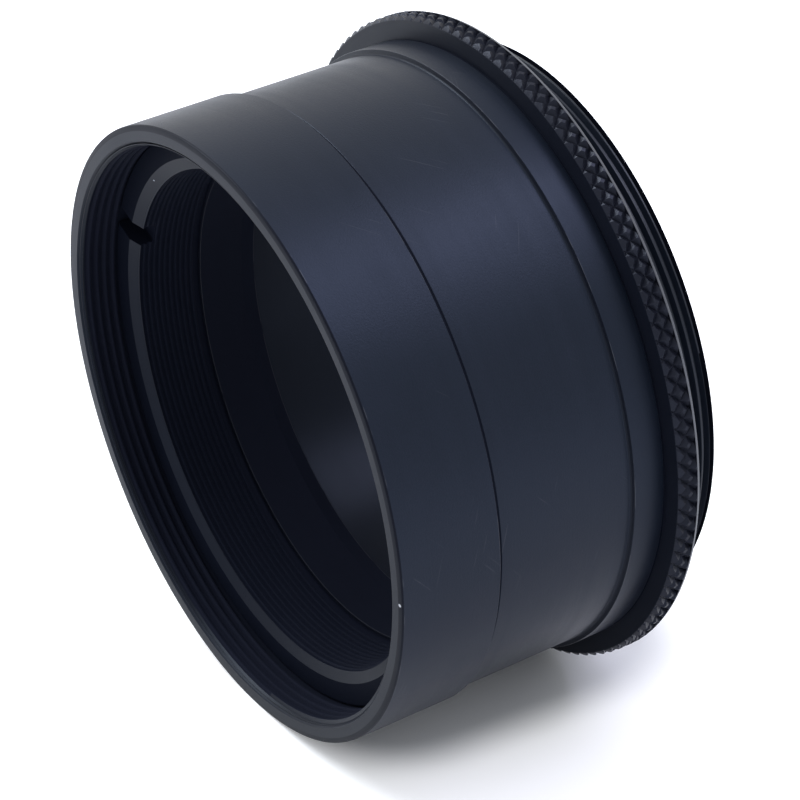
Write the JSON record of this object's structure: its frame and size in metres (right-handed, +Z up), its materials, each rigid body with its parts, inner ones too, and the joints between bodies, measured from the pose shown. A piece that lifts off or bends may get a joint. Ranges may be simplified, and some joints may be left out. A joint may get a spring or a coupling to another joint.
{
  "type": "lens adapter ring",
  "caption": "Threaded tube adapter with a slip-in barrel, a knurled stop flange, a rear male thread and a notched threaded ring screwed into its front.",
  "frame": {"origin": "on the tube axis, in the plane of the flange's rear face, which seats on what the rear thread screws into", "axes": "Y is the tube axis, with the front opening towards -Y and the rear male thread towards +Y; +Z is up as the ring lies on its side on a table"},
  "size_m": [0.0542, 0.0294, 0.0542],
  "materials": {
    "barrel_anodised": "satin black anodised, turned",
    "ring_anodised": "satin black anodised, turned"
  },
  "bodies": {
    "barrel_body": {"barrel": "barrel_anodised"},
    "ring_body": {"insert_ring": "ring_anodised"}
  },
  "joints": [
    {"name": "ring_turn", "type": "hinge", "parent": "barrel_body", "child": "ring_body", "pos_m": [0, -0.01895, 0], "axis": [0, -1, 0], "range_deg": [0, 1656]}
  ]
}
